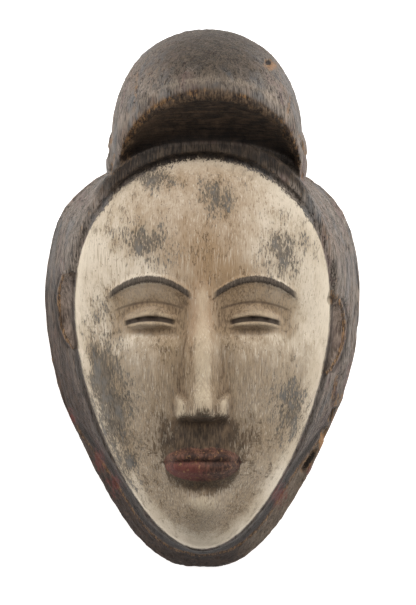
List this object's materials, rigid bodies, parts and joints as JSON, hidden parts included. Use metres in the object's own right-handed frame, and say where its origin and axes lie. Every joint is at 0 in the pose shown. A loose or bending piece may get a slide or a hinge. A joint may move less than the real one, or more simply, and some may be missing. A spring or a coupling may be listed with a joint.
{
  "type": "punu mask",
  "caption": "Carved wooden face mask with a white painted face, slit eyes, low ears, a domed hairdress with a deep brim and a hollow back",
  "frame": {"origin": "Middle of the back of the bounding box, on the plane that the mask lies on", "axes": "+Y runs from the chin to the crown, +Z points out of the face, +X to the right of someone who looks at the face"},
  "size_m": [0.1822, 0.31, 0.122],
  "materials": {
    "painted_wood": "white clay paint on the face, dark stain elsewhere, dry and worn"
  },
  "bodies": {
    "root": {"mask": "painted_wood"}
  },
  "joints": []
}
